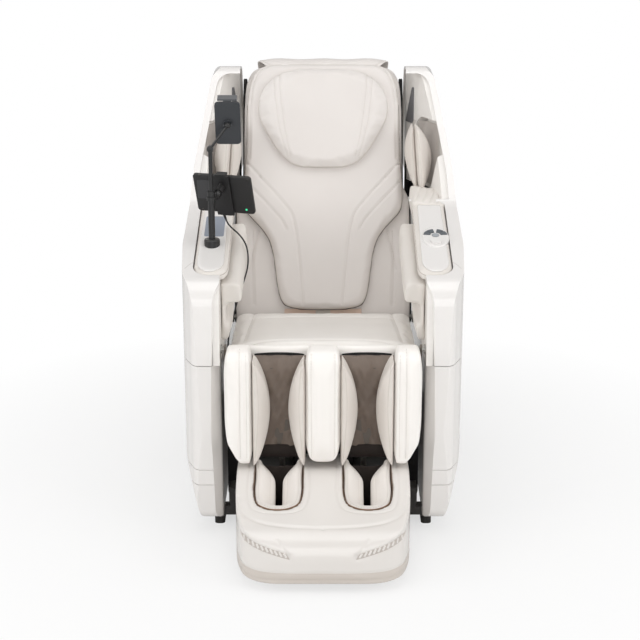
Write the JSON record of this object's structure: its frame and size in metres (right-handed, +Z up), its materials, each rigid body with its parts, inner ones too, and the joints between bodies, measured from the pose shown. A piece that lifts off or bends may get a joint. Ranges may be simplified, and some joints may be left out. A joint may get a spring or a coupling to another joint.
{
  "type": "massage chair",
  "caption": "Free-standing coin-operated massage armchair with shoulder wings, calf and foot massagers, arm sleeves and a device stand.",
  "frame": {"origin": "middle of the footprint on the floor", "axes": "+Z up, the sitter faces -Y, +X to the sitter's left"},
  "size_m": [0.7826, 1.3596, 1.1778],
  "materials": {
    "airbag_fabric": "soft synthetic leather",
    "bare_steel": "ground and polished",
    "cable_black": "soft matt sheath",
    "dark_plastic": "matt moulded",
    "grey_plastic": "matt moulded",
    "ivory_leather": "soft grained synthetic leather",
    "ivory_shell": "glossy moulded cover",
    "key_plastic": "satin",
    "liner_fabric": "soft padded cloth",
    "painted_steel": "satin black paint",
    "roller_plastic": "smooth moulded",
    "rubber_black": "matt rubber",
    "seat_leather": "smooth synthetic leather"
  },
  "bodies": {
    "base": {"air_pump": "dark_plastic", "base_frame": "painted_steel", "control_box": "dark_plastic", "keypad_housing": "ivory_shell", "left_arm_sleeve": "ivory_leather", "left_armrest_cover": "ivory_leather", "left_inner_liner": "ivory_shell", "left_shoulder_airbags": "airbag_fabric", "left_side_cover": "ivory_shell", "left_upper_shell": "ivory_shell", "pivot_pins": "bare_steel", "right_arm_sleeve": "ivory_leather", "right_armrest_cover": "ivory_leather", "right_inner_liner": "ivory_shell", "right_shoulder_airbags": "airbag_fabric", "right_side_cover": "ivory_shell", "right_upper_shell": "ivory_shell", "rubber_feet": "rubber_black", "seat_cushion": "seat_leather", "seat_pan": "painted_steel", "shoulder_speakers": "grey_plastic", "stand_post": "dark_plastic", "tablet_cable": "cable_black"},
    "backrest": {"back_shell": "ivory_shell", "left_guide_rail": "bare_steel", "right_guide_rail": "bare_steel", "back_cushion": "ivory_leather", "back_pad": "ivory_leather", "head_pillow": "ivory_leather"},
    "carriage": {"massage_carriage": "dark_plastic"},
    "left_arm": {"left_kneading_arm": "dark_plastic"},
    "right_arm": {"right_kneading_arm": "dark_plastic"},
    "left_upper_roller": {"left_upper_roller": "roller_plastic"},
    "left_lower_roller": {"left_lower_roller": "roller_plastic"},
    "right_upper_roller": {"right_upper_roller": "roller_plastic"},
    "right_lower_roller": {"right_lower_roller": "roller_plastic"},
    "calf_rest": {"calf_frame": "ivory_shell", "left_calf_pad": "ivory_leather", "right_calf_pad": "ivory_leather", "calf_centre_pad": "ivory_leather", "left_calf_airbags": "airbag_fabric", "right_calf_airbags": "airbag_fabric"},
    "footrest": {"footrest_shell": "ivory_shell", "left_foot_liner": "liner_fabric", "right_foot_liner": "liner_fabric", "footrest_slide_rods": "bare_steel"},
    "left_foot_roller": {"left_foot_roller": "roller_plastic"},
    "right_foot_roller": {"right_foot_roller": "roller_plastic"},
    "left_wheel": {"left_transport_wheel": "rubber_black"},
    "right_wheel": {"right_transport_wheel": "rubber_black"},
    "tablet": {"tablet": "dark_plastic"},
    "phone_arm": {"phone_arm": "dark_plastic"},
    "phone_holder": {"phone_holder": "grey_plastic"},
    "phone_jaw": {"phone_jaw": "dark_plastic"},
    "key_back_down": {"key_back_down": "key_plastic"},
    "key_back_up": {"key_back_up": "key_plastic"},
    "key_legs_down": {"key_legs_down": "key_plastic"},
    "key_legs_up": {"key_legs_up": "key_plastic"},
    "key_start": {"key_start": "key_plastic"}
  },
  "joints": [
    {"name": "backrest_recline", "type": "hinge", "parent": "base", "child": "backrest", "pos_m": [0, 0.25563, 0.43552], "axis": [-1, 0, 0], "range_deg": [0, 30]},
    {"name": "carriage_travel", "type": "slide", "parent": "backrest", "child": "carriage", "axis": [0, 0.3746, 0.9272], "range_m": [-0.2, 0.2]},
    {"name": "left_arm_rock", "type": "hinge", "parent": "carriage", "child": "left_arm", "pos_m": [0.07, 0.40162, 0.76482], "axis": [1, 0, 0], "range_deg": [-5, 5]},
    {"name": "left_upper_roller_spin", "type": "hinge", "parent": "left_arm", "child": "left_upper_roller", "pos_m": [0.0925, 0.42934, 0.83343], "axis": [1, 0, 0], "continuous": true},
    {"name": "left_lower_roller_spin", "type": "hinge", "parent": "left_arm", "child": "left_lower_roller", "pos_m": [0.0925, 0.37389, 0.6962], "axis": [1, 0, 0], "continuous": true},
    {"name": "right_arm_rock", "type": "hinge", "parent": "carriage", "child": "right_arm", "pos_m": [-0.07, 0.40162, 0.76482], "axis": [1, 0, 0], "range_deg": [-5, 5]},
    {"name": "right_upper_roller_spin", "type": "hinge", "parent": "right_arm", "child": "right_upper_roller", "pos_m": [-0.0925, 0.42934, 0.83343], "axis": [1, 0, 0], "continuous": true},
    {"name": "right_lower_roller_spin", "type": "hinge", "parent": "right_arm", "child": "right_lower_roller", "pos_m": [-0.0925, 0.37389, 0.6962], "axis": [1, 0, 0], "continuous": true},
    {"name": "calf_lift", "type": "hinge", "parent": "base", "child": "calf_rest", "pos_m": [0, -0.29, 0.52], "axis": [-1, 0, 0], "range_deg": [0, 75]},
    {"name": "footrest_extend", "type": "slide", "parent": "calf_rest", "child": "footrest", "axis": [0, 0, -1], "range_m": [0, 0.1]},
    {"name": "left_foot_roller_spin", "type": "hinge", "parent": "footrest", "child": "left_foot_roller", "pos_m": [0.117, -0.43, 0.056], "axis": [1, 0, 0], "continuous": true},
    {"name": "left_wheel_spin", "type": "hinge", "parent": "base", "child": "left_wheel", "pos_m": [0.203, 0.544, 0.036], "axis": [1, 0, 0], "continuous": true},
    {"name": "right_foot_roller_spin", "type": "hinge", "parent": "footrest", "child": "right_foot_roller", "pos_m": [-0.117, -0.43, 0.056], "axis": [1, 0, 0], "continuous": true},
    {"name": "right_wheel_spin", "type": "hinge", "parent": "base", "child": "right_wheel", "pos_m": [-0.203, 0.544, 0.036], "axis": [1, 0, 0], "continuous": true},
    {"name": "tablet_pan", "type": "hinge", "parent": "base", "child": "tablet", "pos_m": [-0.283, -0.124, 0.905], "axis": [0, 0, 1], "range_deg": [-20, 20], "deforming": ["tablet_cable"]},
    {"name": "phone_arm_swing", "type": "hinge", "parent": "base", "child": "phone_arm", "pos_m": [-0.301, -0.1199, 1.028], "axis": [0, 1, 0], "range_deg": [-60, 30]},
    {"name": "phone_holder_tilt", "type": "hinge", "parent": "phone_arm", "child": "phone_holder", "pos_m": [-0.254, -0.1199, 1.09], "axis": [1, 0, 0], "range_deg": [-15, 15]},
    {"name": "phone_jaw_open", "type": "slide", "parent": "phone_holder", "child": "phone_jaw", "axis": [0, -0.342, 0.9397], "range_m": [0, 0.018], "stiffness_N_per_m": 300, "springref_m": -0.004},
    {"name": "key_back_down_press", "type": "slide", "parent": "base", "child": "key_back_down", "axis": [0, 0.2588, -0.9659], "range_m": [0, 0.001], "stiffness_N_per_m": 800, "springref_m": -0.0004},
    {"name": "key_back_up_press", "type": "slide", "parent": "base", "child": "key_back_up", "axis": [0, 0.2588, -0.9659], "range_m": [0, 0.001], "stiffness_N_per_m": 800, "springref_m": -0.0004},
    {"name": "key_legs_down_press", "type": "slide", "parent": "base", "child": "key_legs_down", "axis": [0, 0.2588, -0.9659], "range_m": [0, 0.001], "stiffness_N_per_m": 800, "springref_m": -0.0004},
    {"name": "key_legs_up_press", "type": "slide", "parent": "base", "child": "key_legs_up", "axis": [0, 0.2588, -0.9659], "range_m": [0, 0.001], "stiffness_N_per_m": 800, "springref_m": -0.0004},
    {"name": "key_start_press", "type": "slide", "parent": "base", "child": "key_start", "axis": [0, 0.2588, -0.9659], "range_m": [0, 0.001], "stiffness_N_per_m": 800, "springref_m": -0.0004}
  ],
  "couplings": [
    {"joint": "right_arm_rock", "follows": "left_arm_rock", "ratio": -1},
    {"joint": "right_foot_roller_spin", "follows": "left_foot_roller_spin", "ratio": 1}
  ]
}
